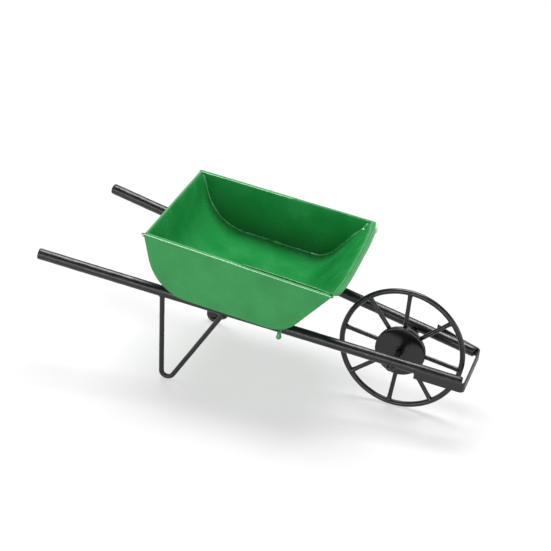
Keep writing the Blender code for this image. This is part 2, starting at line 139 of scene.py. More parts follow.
def setRamp(ramp, positions, colours):
    for stop, position, colour in zip(ramp.color_ramp.elements, positions, colours):
        stop.position = position
        stop.color = colour


def brushedEnamel(name, look):
    # oil enamel laid on with a brush: a glassy coat with soft runs, a faint orange peel and thin spots
    material = bpy.data.materials.new(name)
    material.use_nodes = True
    tree = material.node_tree
    shader = tree.nodes["Principled BSDF"]
    shader.inputs["IOR"].default_value = look["ior"]
    shader.inputs["Metallic"].default_value = 0.0
    place = addNode(tree, "ShaderNodeTexCoord").outputs["Object"]
    stretch = addNode(tree, "ShaderNodeMapping", {"Vector": place, "Scale": look["stretch"]})
    cloud = addNode(tree, "ShaderNodeTexNoise", {"Vector": stretch.outputs["Vector"], "Detail": 3.0,
                                                 "Scale": 1 / look["driftSize"], "Roughness": 0.5})
    drift = cloud.outputs["Fac"]
    pooled = addNode(tree, "ShaderNodeValToRGB", {"Fac": drift})
    setRamp(pooled, (0.3, 0.72), (linearColour(look["thick"]), linearColour(look["thin"])))
    grain = addNode(tree, "ShaderNodeTexNoise", {"Vector": place, "Scale": 1 / look["grainSize"],
                                                 "Detail": 2.0})
    specks = addNode(tree, "ShaderNodeValToRGB", {"Fac": grain.outputs["Fac"]})
    setRamp(specks, (0.78, 0.92), ((0, 0, 0, 1), (1, 1, 1, 1)))
    colour = addNode(tree, "ShaderNodeMix", data_type="RGBA")
    # Mix has three kinds of sockets with the same names, so the colour ones go by number
    tree.links.new(pooled.outputs["Color"], colour.inputs[6])
    colour.inputs[7].default_value = linearColour(look["speck"])
    tree.links.new(specks.outputs["Color"], colour.inputs[0])
    tree.links.new(colour.outputs[2], shader.inputs["Base Color"])
    dull = addNode(tree, "ShaderNodeMapRange", {"Value": drift, "From Min": 0.3, "From Max": 0.7,
                                                "To Min": look["gloss"][0], "To Max": look["gloss"][1]})
    tree.links.new(dull.outputs["Result"], shader.inputs["Roughness"])
    runs = addNode(tree, "ShaderNodeBump", {"Height": drift, "Distance": look["runHeight"], "Strength": 1.0})
    peel = addNode(tree, "ShaderNodeTexNoise", {"Vector": place, "Scale": 1 / look["peelSize"],
                                                "Detail": 1.0})
    skin = addNode(tree, "ShaderNodeBump", {"Height": peel.outputs["Fac"], "Distance": look["peelHeight"],
                                            "Strength": 1.0, "Normal": runs.outputs["Normal"]})
    tree.links.new(skin.outputs["Normal"], shader.inputs["Normal"])
    return material


def castSolder(name):
    # bare tin solder, dulled where it cooled last
    look = {"dark": "#8d8f92", "light": "#c4c6c8", "cloudSize": 0.6 * mm, "gloss": (0.22, 0.45)}
    material = bpy.data.materials.new(name)
    material.use_nodes = True
    tree = material.node_tree
    shader = tree.nodes["Principled BSDF"]
    shader.inputs["Metallic"].default_value = 1.0
    place = addNode(tree, "ShaderNodeTexCoord").outputs["Object"]
    cloud = addNode(tree, "ShaderNodeTexNoise", {"Vector": place, "Scale": 1 / look["cloudSize"],
                                                 "Detail": 2.0})
    tone = addNode(tree, "ShaderNodeValToRGB", {"Fac": cloud.outputs["Fac"]})
    setRamp(tone, (0, 1), (linearColour(look["dark"]), linearColour(look["light"])))
    tree.links.new(tone.outputs["Color"], shader.inputs["Base Color"])
    dull = addNode(tree, "ShaderNodeMapRange", {"Value": cloud.outputs["Fac"], "To Min": look["gloss"][0],
                                                "To Max": look["gloss"][1]})
    tree.links.new(dull.outputs["Result"], shader.inputs["Roughness"])
    return material


def makeMaterials():
    green = {"ior": 1.52, "thick": "#187a37", "thin": "#1f8741", "speck": "#3f9c5c", "gloss": (0.16, 0.30),
             "stretch": (1, 1, 1), "driftSize": 7 * mm, "grainSize": 0.5 * mm, "runHeight": 0.03 * mm,
             "peelSize": 0.9 * mm, "peelHeight": 0.004 * mm}
    # glassier where it pooled over the seams' solder, and paler green as a painted highlight for the sheen
    # along the seam beads
    seam = dict(green, thick="#1f9a48", thin="#5cc07c", speck="#a6e0b6", gloss=(0.10, 0.22),
                driftSize=1.6 * mm, runHeight=0.05 * mm)
    # rubbed thin over the metal, so that grey shows through
    # pale green for the bent flap at the lip's left end: a painted reflection of the white room that the
    # glossy flap mirrors
    paintedReflection = dict(green, thick="#6fa581", thin="#cfdcd1", speck="#e6eee7", driftSize=2.2 * mm)
    black = {"ior": 1.5, "thick": "#070708", "thin": "#101012", "speck": "#2a2a2c", "gloss": (0.26, 0.40),
             "stretch": (0.3, 1, 1), "driftSize": 0.9 * mm, "grainSize": 0.35 * mm, "runHeight": 0.045 * mm,
             "peelSize": 0.45 * mm, "peelHeight": 0.012 * mm}
    # the flat disc dried smooth and mirrors the room, the strip was wiped and dried dull
    disc = dict(black, gloss=(0.15, 0.20), stretch=(1, 1, 1), driftSize=4 * mm, runHeight=0.006 * mm,
                peelHeight=0.001 * mm)
    satin = dict(black, gloss=(0.42, 0.52), stretch=(1, 1, 1), driftSize=2 * mm, runHeight=0.02 * mm)
    return {
        "green": brushedEnamel("greenBrushedEnamel", green),
        "seam": brushedEnamel("greenPooledEnamelPaintedSheen", seam),
        "paintedReflection": brushedEnamel("greenPaintedReflectionEnamel", paintedReflection),
        "black": brushedEnamel("blackDippedEnamel", black),
        "disc": brushedEnamel("blackGlassyEnamel", disc),
        "satin": brushedEnamel("blackSatinEnamel", satin),
        "solder": castSolder("greyTinSolder"),
    }


def makeFloor():
    # opal acrylic lit from below: an even white that keeps only a faint shadow
    table = {"size": 12.0, "shade": "#898a89", "light": "#8e8e8e", "glowColour": "#ffffff", "glow": 0.56,
             "cloudSize": 25 * mm, "roughness": 0.7}
    bm = bmesh.new()
    bmesh.ops.create_grid(bm, x_segments=1, y_segments=1, size=table["size"] / 2)
    mesh = bpy.data.meshes.new("lightTable")
    bm.to_mesh(mesh)
    bm.free()
    floor = bpy.data.objects.new("lightTable", mesh)
    bpy.context.scene.collection.objects.link(floor)
    material = bpy.data.materials.new("opalLightTable")
    material.use_nodes = True
    tree = material.node_tree
    shader = tree.nodes["Principled BSDF"]
    shader.inputs["Roughness"].default_value = table["roughness"]
    place = addNode(tree, "ShaderNodeTexCoord").outputs["Object"]
    cloud = addNode(tree, "ShaderNodeTexNoise", {"Vector": place, "Scale": 1 / table["cloudSize"],
                                                 "Detail": 4.0})
    tone = addNode(tree, "ShaderNodeValToRGB", {"Fac": cloud.outputs["Fac"]})
    setRamp(tone, (0, 1), (linearColour(table["shade"]), linearColour(table["light"])))
    tree.links.new(tone.outputs["Color"], shader.inputs["Base Color"])
    shader.inputs["Emission Color"].default_value = linearColour(table["glowColour"])
    shader.inputs["Emission Strength"].default_value = table["glow"]
    mesh.materials.append(material)


def growAlong(bm, geom, moves):
    # extrudes verts or edges through straight runs and bends, and gives back the last ones
    for move in moves:
        straight = Vector(move.get("run", (0, 0, 0))) / move["steps"]
        made = bmesh.ops.spin(bm, geom=geom, cent=move.get("centre", (0, 0, 0)), dvec=straight,
                              axis=move.get("axis", (0, 1, 0)), angle=move.get("angle", 0.0),
                              steps=move["steps"])
        geom = made["geom_last"]
    return geom


def capRing(bm, geom):
    edges = [item for item in geom if isinstance(item, bmesh.types.BMEdge)]
    return bmesh.ops.contextual_create(bm, geom=edges)["faces"][0]


def startRing(bm, centre, direction, radius, sides):
    place = Matrix.Translation(centre) @ Vector(direction).to_track_quat("Z", "Y").to_matrix().to_4x4()
    made = bmesh.ops.create_circle(bm, segments=sides, radius=radius, matrix=place)
    return made["verts"] + list({edge for vert in made["verts"] for edge in vert.link_edges})


def roundEdges(bm, edges, width, segments=3):
    bmesh.ops.bevel(bm, geom=list(edges), offset=width, offset_type="OFFSET", affect="EDGES",
                    segments=segments, profile=0.5, material=-1, clamp_overlap=True)


def sweepBead(bm, path, radii, sides=20):
    # a round bead whose thickness changes along its path, with domed ends
    dome = ((0.94, 0.34), (0.7, 0.71), (0.34, 0.94))  # how far out and how wide each ring is, in radii
    forward = [(path[min(i + 1, len(path) - 1)] - path[max(i - 1, 0)]).normalized() for i in range(len(path))]
    start, end = forward[0] * radii[0], forward[-1] * radii[-1]
    stations = [(path[0] - start * out, wide * radii[0], forward[0]) for out, wide in dome]
    stations += list(zip(path, radii, forward))
    stations += [(path[-1] + end * out, wide * radii[-1], forward[-1]) for out, wide in reversed(dome)]
    centre, radius, along = stations[0]
    geom = startRing(bm, centre, along, radius, sides)
    capRing(bm, geom)
    for nextCentre, nextRadius, nextAlong in stations[1:]:
        made = bmesh.ops.spin(bm, geom=geom, cent=centre, axis=(0, 0, 1), dvec=(0, 0, 0), angle=0.0, steps=1)
        geom = made["geom_last"]
        ring = [item for item in geom if isinstance(item, bmesh.types.BMVert)]
        turn = along.rotation_difference(nextAlong).to_matrix().to_4x4()
        swell = Matrix.Scale(nextRadius / radius, 4)
        move = Matrix.Translation(nextCentre) @ turn @ swell @ Matrix.Translation(-centre)
        bmesh.ops.transform(bm, matrix=move, verts=ring)
        centre, radius, along = nextCentre, nextRadius, nextAlong
    capRing(bm, geom)


def waver(bm, amount, size, seed=0.0):
    # uneven enamel: moves the skin in and out by less than a hair
    bm.normal_update()
    shift = Vector((7.3, 3.1, 5.7)) * seed  # so that no two pieces waver alike
    moved = [vert.normal * amount * noise.noise(vert.co / size + shift) for vert in bm.verts]
    for vert, step in zip(bm.verts, moved):
        vert.co += step


def keepPiece(name, bm, material, body, nodes, recalculate=True):
    bmesh.ops.remove_doubles(bm, verts=bm.verts, dist=weldGap)
    if recalculate:
        bmesh.ops.recalc_face_normals(bm, faces=bm.faces)
    mesh = bpy.data.meshes.new(name)
    bm.to_mesh(mesh)
    bm.free()
    mesh.shade_smooth()
    mesh.set_sharp_from_angle(angle=sharpEdge)
    mesh.materials.append(material)
    piece = bpy.data.objects.new(name, mesh)
    bpy.context.scene.collection.objects.link(piece)
    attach(piece, body)
    if nodes:
        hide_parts(*nodes)
    return piece


def middle(node):
    low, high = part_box(node)
    return (low + high) / 2


# endLean: the rim of a slanting rod's end reaches this share of its radius past the end's centre
rod = {"diameter": 3.2 * mm, "sides": 48, "rounding": 0.45 * mm, "cutsAlong": 110, "unevenness": 0.035 * mm,
       "waveSize": 2.2 * mm, "endLean": 0.184}


def rodEnds(node):
    # the ends of a rod's centre line, from its box: handle end high, nose end low
    low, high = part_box(node)
    radius = rod["diameter"] / 2
    side = -1 if (low.y + high.y) < 0 else 1
    outer = low.y if side < 0 else high.y
    inner = high.y if side < 0 else low.y
    lean = rod["endLean"] * radius
    rear = Vector((low.x + lean, outer - side * radius, high.z - radius))
    nose = Vector((high.x - lean, inner + side * radius, low.z + radius))
    return rear, nose


def makeRails(finish):
    for word, node in (("Right", "rail_right"), ("Left", "rail_left")):
        rear, nose = rodEnds(node)
        bm = bmesh.new()
        ring = startRing(bm, rear, nose - rear, rod["diameter"] / 2, rod["sides"])
        first = capRing(bm, ring)
        last = capRing(bm, growAlong(bm, ring, [{"run": nose - rear, "steps": rod["cutsAlong"]}]))
        roundEdges(bm, list(first.edges) + list(last.edges), rod["rounding"])
        waver(bm, rod["unevenness"], rod["waveSize"], seed=len(word))
        keepPiece("handleRod" + word, bm, finish, "barrow", [node])
    print("rails done")


tray = {"rimLength": 56.6 * mm, "depth": 15.7 * mm, "rearRake": 21.5, "frontRake": 35.4,
        "heelRadius": 14.3 * mm, "toeRadius": 9.9 * mm, "sheet": 0.8 * mm, "plate": 1.0 * mm,
        "lipBulge": 1.5 * mm, "leftFrontBack": 3.0 * mm, "leftRearBack": 1.4 * mm, "rightRearRise": 0.5 * mm,
        "leftRearRise": 0.2 * mm, "leftFrontRise": 1.2 * mm, "cornerCut": 0.08 * mm}


def trayFrame():
    # the floor mount gives the tilt and height, the right plate's rear corner the place along the barrow
    mount = next(m for m in frame["record"]["mounts"] if m["name"] == "tray_floor")
    up = Vector(mount["axis"]).normalized()
    tilt = math.atan2(up.x, up.z)
    rim = trayCorners()[0]
    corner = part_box("tray_side_right")[0].x - tray["cornerCut"]
    start = corner - rim[0] * math.cos(tilt) - rim[1] * math.sin(tilt)
    floor = Vector(mount["pos_m"]) - up * tray["sheet"]
    height = floor.z + (floor.x - start) * up.x / up.z
    return Matrix.Translation((start, 0, height)) @ Matrix.Rotation(tilt, 4, "Y")


def trayCorners():
    rake, slope = math.radians(tray["rearRake"]), math.radians(tray["frontRake"])
    heel = -tray["heelRadius"] * math.tan((math.pi / 2 - rake) / 2)
    rearRim = heel - tray["depth"] * math.tan(rake)
    frontRim = rearRim + tray["rimLength"]
    toe = frontRim - tray["depth"] * math.tan(slope)
    return [(rearRim, tray["depth"]), (heel, 0), (toe, 0), (frontRim, tray["depth"])]


def trayChain(bm, across=0.0):
    # the bent sheet's section as a chain of edges, from the rear rim round the heel and toe to the lip
    rearRim, heel, toe, frontRim = [Vector((u, across, w)) for u, w in trayCorners()]
    rake, slope = math.radians(tray["rearRake"]), math.radians(tray["frontRake"])
    down, climb = (heel - rearRim).normalized(), (frontRim - toe).normalized()
    heelTurn, toeTurn = math.pi / 2 - rake, math.pi / 2 - slope
    heelRun = tray["heelRadius"] * math.tan(heelTurn / 2)
    toeRun = tray["toeRadius"] * math.tan(toeTurn / 2)
    bend = Vector((0, across, tray["heelRadius"]))
    curl = Vector((toe.x - toeRun, across, tray["toeRadius"]))
    growAlong(bm, [bm.verts.new(rearRim)], [
        {"run": down * ((heel - rearRim).length - heelRun), "steps": 5},
        {"centre": bend, "axis": (0, -1, 0), "angle": heelTurn, "steps": 14},
        {"run": (toe.x - toeRun, 0, 0), "steps": 12},
        {"centre": curl, "axis": (0, -1, 0), "angle": toeTurn, "steps": 12},
        {"run": climb * ((frontRim - toe).length - toeRun), "steps": 8},
    ])


def shapeTray(bm):
    # the lip bows out, the left side stands further back, and three of the rim's corners stand up a little
    half = (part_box("tray_side_left")[1].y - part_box("tray_side_right")[0].y) / 2
    rear, _, toe, front = [corner[0] for corner in trayCorners()]
    for vert in bm.verts:
        along, across, height = vert.co
        share = min(max(height / tray["depth"], 0), 1)
        leftness = (across + half) / (2 * half)
        forward = min(max((along - toe / 2) / (toe / 2), 0), 1)
        bow = tray["lipBulge"] * share ** 2 * (1 - min(abs(across / half), 1) ** 4)
        bulge = bow if along > toe / 2 else 0
        setback = tray["leftFrontBack"] * forward + (tray["leftRearBack"] * share if along < 0 else 0)
        travelled = (along - rear) / (front - rear)
        rearRise = tray["rightRearRise"] + (tray["leftRearRise"] - tray["rightRearRise"]) * leftness
        frontRise = tray["leftFrontRise"] * leftness
        rise = share * (rearRise + (frontRise - rearRise) * travelled)
        vert.co = (along + bulge - leftness * setback, across, height + rise)


def sheetModifier(piece, thickness, offset=-1.0, rounding=0.18 * mm):
    wall = piece.modifiers.new("sheetThickness", "SOLIDIFY")
    wall.thickness = thickness
    wall.offset = offset
    wall.use_even_offset = True
    soft = piece.modifiers.new("paintedEdge", "BEVEL")
    soft.width = rounding
    soft.segments = 3
    soft.limit_method = "ANGLE"
    soft.angle_limit = sharpEdge


def makeWrap(finish, place):
    sheet = {"tuck": 0.25 * mm, "columns": 56, "unevenness": 0.10 * mm, "waveSize": 9 * mm}
    slot = {"from": 0.56, "to": 0.93, "reach": 3 * mm, "gape": 1.0 * mm}  # heights are shares of the depth
    low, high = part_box("tray_wrap")
    half = (high.y - low.y) / 2 + sheet["tuck"]  # up against the side plates
    bm = bmesh.new()
    trayChain(bm, across=-half)
    growAlong(bm, list(bm.verts) + list(bm.edges), [{"run": (0, 2 * half, 0), "steps": sheet["columns"]}])
    # near the left end of the lip the sheet misses the side plate and leaves a slot
    toe = trayCorners()[2][0]
    for vert in bm.verts:
        share = vert.co.z / tray["depth"]
        if vert.co.x > toe and slot["from"] < share < slot["to"] and vert.co.y > half - slot["reach"]:
            gape = math.sin(math.pi * (share - slot["from"]) / (slot["to"] - slot["from"]))
            vert.co.y -= slot["gape"] * gape * ((vert.co.y - half) / slot["reach"] + 1)
    shapeTray(bm)
    bmesh.ops.recalc_face_normals(bm, faces=bm.faces)
    if sum(face.normal.z * face.calc_area() for face in bm.faces) > 0:
        bmesh.ops.reverse_faces(bm, faces=bm.faces)
    waver(bm, sheet["unevenness"], sheet["waveSize"], seed=2)
    bmesh.ops.transform(bm, matrix=place, verts=bm.verts)
    wrap = keepPiece("traySheet", bm, finish, "barrow", ["tray_wrap"], recalculate=False)
    sheetModifier(wrap, tray["sheet"])


def makePlates(finish, place):
    panel = {"rows": 10, "columns": 24, "dent": 0.12 * mm, "dentSize": 16 * mm, "rounding": 0.32 * mm}
    rear, front = trayCorners()[0][0], trayCorners()[3][0]
    cuts = [((0, 0, tray["depth"] * k / panel["rows"]), (0, 0, 1)) for k in range(1, panel["rows"])]
    step = (front - rear) / panel["columns"]
    cuts += [((rear + step * k, 0, 0), (1, 0, 0)) for k in range(1, panel["columns"])]
    for word, side, node in (("Right", -1, "tray_side_right"), ("Left", 1, "tray_side_left")):
        low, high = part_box(node)
        bm = bmesh.new()
        trayChain(bm, across=low.y if side < 0 else high.y)
        bmesh.ops.contextual_create(bm, geom=list(bm.edges))
        for spot, facing in cuts:
            bmesh.ops.bisect_plane(bm, geom=list(bm.verts) + list(bm.edges) + list(bm.faces), plane_co=spot,
                                   plane_no=facing)
        shapeTray(bm)
        for vert in bm.verts:
            wave = noise.noise(Vector((vert.co.x, vert.co.z, side * 0.01)) / panel["dentSize"])
            vert.co.y -= side * abs(wave) * panel["dent"]
        if bm.faces[:][0].normal.y * side < 0:
            bmesh.ops.reverse_faces(bm, faces=bm.faces)
        bmesh.ops.transform(bm, matrix=place, verts=bm.verts)
        piece = keepPiece("sidePlate" + word, bm, finish, "barrow", [node], recalculate=False)
        sheetModifier(piece, tray["plate"], rounding=panel["rounding"])


def makeSeams(finish, place):
    seam = {"radius": 0.34 * mm, "swell": 0.9, "thinnest": -0.4, "lumpSize": 2.4 * mm, "tuck": 0.1 * mm,
            "proud": 0.05 * mm, "unevenness": 0.08 * mm, "grain": 0.8 * mm}
    for word, side, node in (("Right", -1, "seam_fillet_right"), ("Left", 1, "seam_fillet_left")):
        low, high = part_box(node)
        across = (low.y if side < 0 else high.y) + side * seam["tuck"]
        chain = bmesh.new()
        trayChain(chain)
        path = [vert.co.copy() for vert in chain.verts]
        chain.free()
        points, radii = [], []
        for i in range(1, len(path) - 1):
            along = (path[i + 1] - path[i - 1]).normalized()
            point = path[i] + Vector((-along.z, 0, along.x)) * (tray["sheet"] + seam["proud"])
            lump = noise.noise(point / seam["lumpSize"] + Vector((side, 0, 0)))
            points.append(Vector((point.x, across, point.z)))
            radii.append(seam["radius"] * (1 + seam["swell"] * max(lump, seam["thinnest"])))
        bm = bmesh.new()
        sweepBead(bm, points, radii)
        shapeTray(bm)
        waver(bm, seam["unevenness"], seam["grain"], seed=side + 2)
        bmesh.ops.transform(bm, matrix=place, verts=bm.verts)
        # the seam paint's paler green is a painted highlight along the beads
        keepPiece("seamBead" + word, bm, finish, "barrow", [node])


def makeRimHems(finish, place):
    # each side plate's top is folded over into a flat bead, which narrows where its inner layer springs open
    hem = {"width": 1.95 * mm, "leftShare": 0.8, "height": 0.8 * mm, "sunk": 0.30, "overhang": 0.28 * mm,
           "rearGap": 0.5 * mm, "frontGap": 0.4 * mm, "opens": 0.52, "narrowing": 0.34, "over": 0.06,
           "swell": 0.05, "lumps": 9, "steps": 70}
    rear, front = trayCorners()[0][0], trayCorners()[3][0]
    length = front - rear - hem["rearGap"] - hem["frontGap"]
    for word, side, node in (("Right", -1, "tray_side_right"), ("Left", 1, "tray_side_left")):
        low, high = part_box(node)
        outer = low.y if side < 0 else high.y
        full = hem["width"] if side < 0 else hem["leftShare"] * hem["width"]
        path, radii = [], []
        for k in range(hem["steps"] + 1):
            travelled = k / hem["steps"]
            opened = min(max((travelled - hem["opens"]) / hem["over"] + 0.5, 0), 1)
            lump = 1 + hem["swell"] * noise.noise(Vector((travelled * hem["lumps"], side, 0)))
            width = full * (1 - hem["narrowing"] * opened) * lump
            across = outer - side * (width / 2 - hem["overhang"])
            path.append(Vector((rear + hem["rearGap"] + length * travelled, across, 0)))
            radii.append(width / 2)
        bm = bmesh.new()
        sweepBead(bm, path, radii, sides=24)
        for vert in bm.verts:
            vert.co.z = tray["depth"] - hem["height"] * hem["sunk"] + vert.co.z * hem["height"] / hem["width"]
        shapeTray(bm)
        bmesh.ops.transform(bm, matrix=place, verts=bm.verts)
        keepPiece("rimBead" + word, bm, finish, "barrow", [])
        if side < 0:
            makeSprungLayer(finish, place, outer + hem["width"], rear + (front - rear) * hem["opens"], front)


def makeSprungLayer(finish, place, inner, begin, front):
    # the right hem's inner layer, which stands away from the bead from where the hem opens to the nose
    layer = {"thickness": 0.42 * mm, "depth": 1.3 * mm, "proud": 0.05 * mm, "frontGap": 0.5 * mm,
             "spring": 0.30 * mm, "fullness": 0.8, "closes": 1.02, "waviness": 0.08 * mm, "waves": 5,
             "rounding": 0.16 * mm}
    start = Vector((begin, inner - layer["thickness"] / 2, tray["depth"] + layer["proud"]))
    bm = bmesh.new()
    growAlong(bm, [bm.verts.new(start)], [{"run": (front - layer["frontGap"] - begin, 0, 0), "steps": 40}])
    growAlong(bm, list(bm.verts) + list(bm.edges), [{"run": (0, 0, -layer["depth"]), "steps": 4}])
    for vert in bm.verts:
        travelled = (vert.co.x - begin) / (front - begin)
        sprung = math.sin(math.pi * min(travelled * layer["closes"], 1)) ** layer["fullness"]
        vert.co.y += layer["spring"] * sprung
        vert.co.z += layer["waviness"] * noise.noise(Vector((travelled * layer["waves"], -1, 0)))
    shapeTray(bm)
    bmesh.ops.transform(bm, matrix=place, verts=bm.verts)
    piece = keepPiece("rimLayerRight", bm, finish, "barrow", [])
    sheetModifier(piece, layer["thickness"], offset=0.0, rounding=layer["rounding"])


def makeLipHem(finish, place):
    # the sheet's front edge is rolled outwards and down, and draws in to meet the right rim
    roll = {"radius": 0.32 * mm, "turn": math.radians(112), "skirt": 0.5 * mm, "layer": 0.5 * mm,
            "lap": 0.4 * mm, "gap": 0.02 * mm, "past": 0.45 * mm, "unevenness": 0.06 * mm, "waveSize": 6 * mm,
            "dentSize": 1.7 * mm, "dentShare": 0.4, "drawIn": 1.1 * mm, "drawDown": 0.35, "reach": 2.6 * mm,
            "rounding": 0.15 * mm}
    low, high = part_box("tray_wrap")
    half = (high.y - low.y) / 2 + roll["past"]
    slope = math.radians(tray["frontRake"])
    climb = Vector((math.sin(slope), 0, math.cos(slope)))
    outward = Vector((math.cos(slope), 0, -math.sin(slope)))
    rim = Vector((trayCorners()[3][0], -half, trayCorners()[3][1]))
    first = rim - climb * roll["lap"] + outward * roll["gap"]
    centre = rim + outward * (roll["radius"] + roll["gap"])
    end = Matrix.Rotation(roll["turn"], 3, "Y") @ climb
    bm = bmesh.new()
    growAlong(bm, [bm.verts.new(first)], [
        {"run": climb * roll["lap"], "steps": 2},
        {"centre": centre, "axis": (0, 1, 0), "angle": roll["turn"], "steps": 12},
        {"run": end * roll["skirt"], "steps": 2},
    ])
    growAlong(bm, list(bm.verts) + list(bm.edges), [{"run": (0, 2 * half, 0), "steps": 90}])
    for vert in bm.verts:
        wave = noise.noise(Vector((vert.co.y / roll["waveSize"], 2.0, 0)))
        dent = noise.noise(Vector((vert.co.y / roll["dentSize"], 5.0, 0)))
        vert.co += (outward * wave + climb * dent * roll["dentShare"]) * roll["unevenness"]
        cornering = max(1 - (half + vert.co.y) / roll["reach"], 0)  # only at the right end
        vert.co -= (outward + climb * roll["drawDown"]) * roll["drawIn"] * cornering ** 2
    shapeTray(bm)
    bmesh.ops.transform(bm, matrix=place, verts=bm.verts)
    piece = keepPiece("lipRoll", bm, finish, "barrow", [])
    sheetModifier(piece, roll["layer"], offset=0.0, rounding=roll["rounding"])


def makeCorners(paintedReflection, solder, place):
    # a bent flap and a glint of solder at the left of the lip, and a knob at the right rear corner
    flap = {"length": 4.4 * mm, "width": 1.5 * mm, "layer": 0.5 * mm, "ahead": 0.5 * mm, "inside": 0.3 * mm,
            "proud": 0.1 * mm, "swing": 0.9 * mm, "lean": 0.6 * mm, "curl": 1.1 * mm, "arch": 0.3 * mm,
            "rounding": 0.18 * mm}
    glint = {"back": 5.2 * mm, "inside": 1.9 * mm, "down": 1.7 * mm, "size": (0.8 * mm, 0.4 * mm, 0.5 * mm)}
    knob = {"back": 0.15 * mm, "inside": 0.45 * mm, "up": 0.2 * mm, "size": (0.62 * mm, 0.6 * mm, 0.7 * mm)}
    rear, front = trayCorners()[0][0], trayCorners()[3][0]
    left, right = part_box("tray_side_left")[1].y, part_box("tray_side_right")[0].y
    begin = left - flap["length"] - flap["inside"]
    bm = bmesh.new()
    corner = bm.verts.new((front + flap["ahead"], begin, tray["depth"] + flap["proud"]))
    growAlong(bm, [corner], [{"run": (flap["swing"], flap["length"], 0), "steps": 8}])
    growAlong(bm, list(bm.verts) + list(bm.edges), [{"run": (flap["lean"], 0, -flap["width"]), "steps": 5}])
    for vert in bm.verts:
        reached = (vert.co.y - begin) / flap["length"]
        vert.co.x -= flap["curl"] * reached ** 3
        vert.co.z += flap["arch"] * math.sin(math.pi * reached)
    shapeTray(bm)
    bmesh.ops.transform(bm, matrix=place, verts=bm.verts)
    # the flap's pale, almost white green is a painted reflection of the white room
    piece = keepPiece("lipFlap", bm, paintedReflection, "barrow", [])
    sheetModifier(piece, flap["layer"], offset=0.0, rounding=flap["rounding"])
    spot = place @ Vector((front - glint["back"], left - glint["inside"], tray["depth"] - glint["down"]))
    makeLump("cornerGlint", spot, glint["size"], None, solder, seed=2)
    spot = place @ Vector((rear - knob["back"], right + knob["inside"], tray["depth"] + knob["up"]))
    makeLump("cornerKnob", spot, knob["size"], None, solder, seed=1)


def makeTraySupports(green):
    # the wire presses up into the floor by the right plate, and its bent end thickens to a drop
    wire = {"diameter": 1.3 * mm, "drop": 1.2, "bend": 1.0 * mm, "farGap": 0.6 * mm, "pressedUp": 0.9 * mm,
            "pressedOver": 3.0 * mm, "thinned": 0.42, "unevenness": 0.06 * mm, "waveSize": 1.3 * mm,
            "runSteps": 40, "bendSteps": 8, "endSteps": 4, "swellSteps": 10}
    low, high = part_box("tray_cross_wire")
    x, radius = (low.x + high.x) / 2, wire["diameter"] / 2
    level, near = high.z - radius, low.y + radius
    far, elbow = high.y - wire["farGap"], near + wire["bend"]
    path = []
    for k in range(wire["runSteps"]):
        path.append(Vector((x, far + (elbow - far) * k / wire["runSteps"], level)))
    for k in range(wire["bendSteps"] + 1):
        angle = math.pi / 2 * k / wire["bendSteps"]
        path.append(Vector((x, elbow - wire["bend"] * math.sin(angle),
                            level - wire["bend"] * (1 - math.cos(angle)))))
    hang, tip = Vector((x, near, level - wire["bend"])), Vector((x, near, low.z + radius))
    path += [hang.lerp(tip, k / wire["endSteps"]) for k in range(1, wire["endSteps"] + 1)]
    radii = []
    for k, point in enumerate(path):
        pressed = min(max((elbow + wire["pressedOver"] - point.y) / wire["pressedOver"], 0), 1)
        hanging = min(max((k - wire["runSteps"]) / wire["swellSteps"], 0), 1)
        point.z += wire["pressedUp"] * pressed * (1 - hanging)
        thin = 1 - wire["thinned"] * pressed
        radii.append(radius * (thin + (wire["drop"] - thin) * hanging))
    bm = bmesh.new()
    sweepBead(bm, path, radii)
    waver(bm, wire["unevenness"], wire["waveSize"], seed=5)
    keepPiece("crossWire", bm, green, "barrow", ["tray_cross_wire"])
    heel = {"radius": 0.6 * mm, "swell": 0.3, "lumpSize": 1.4 * mm, "endGap": 0.5 * mm, "steps": 10,
            "unevenness": 0.08 * mm, "grain": 0.9 * mm}
    for word, node in (("Right", "tray_solder_right"), ("Left", "tray_solder_left")):
        low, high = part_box(node)
        across = (low.y + high.y) / 2
        rear = Vector((low.x + heel["endGap"], across, high.z - heel["radius"]))
        nose = Vector((high.x - heel["endGap"], across, low.z + heel["radius"]))
        path = [rear.lerp(nose, k / heel["steps"]) for k in range(heel["steps"] + 1)]
        lumps = [noise.noise(point / heel["lumpSize"]) for point in path]
        bm = bmesh.new()
        sweepBead(bm, path, [heel["radius"] * (1 + heel["swell"] * lump) for lump in lumps])
        waver(bm, heel["unevenness"], heel["grain"], seed=3)
        keepPiece("heelSolder" + word, bm, green, "barrow", [node])
    print("tray done")


def makeLump(name, centre, size, node, finish, seed):
    # a drop of solder or enamel, a ball stretched to its size and then made uneven
    lump = {"depth": 0.35, "spread": 0.9}  # shares of its smallest and its largest radius
    bm = bmesh.new()
    bmesh.ops.create_icosphere(bm, subdivisions=4, radius=1.0)
    bmesh.ops.scale(bm, verts=bm.verts, vec=size)
    waver(bm, min(size) * lump["depth"], max(size) * lump["spread"], seed)
    bmesh.ops.translate(bm, verts=bm.verts, vec=centre)
    keepPiece(name, bm, finish, "barrow", [node] if node else [])


leg = {"wire": 1.4 * mm, "bendRadius": 1.9 * mm, "rearRake": 5.5, "frontRake": 29.1, "sides": 24,
       "toeIn": 1.2 * mm, "rearOut": 0.7 * mm, "rearForward": 1.1 * mm, "overlap": 1.5 * mm,
       "frontTop": 23.8 * mm, "unevenness": 0.03 * mm, "waveSize": 1.6 * mm}
collars = {"rear": {"size": (0.8, 1.0, 0.8), "shift": (0.3, 0, 1.5)},  # both in millimetres
           "front": {"size": (1.35, 1.1, 0.95), "shift": (0.5, 0, 0.8)}}
footWeb = {"up": 0.5 * mm, "size": (1.7 * mm, 0.6 * mm, 1.9 * mm)}


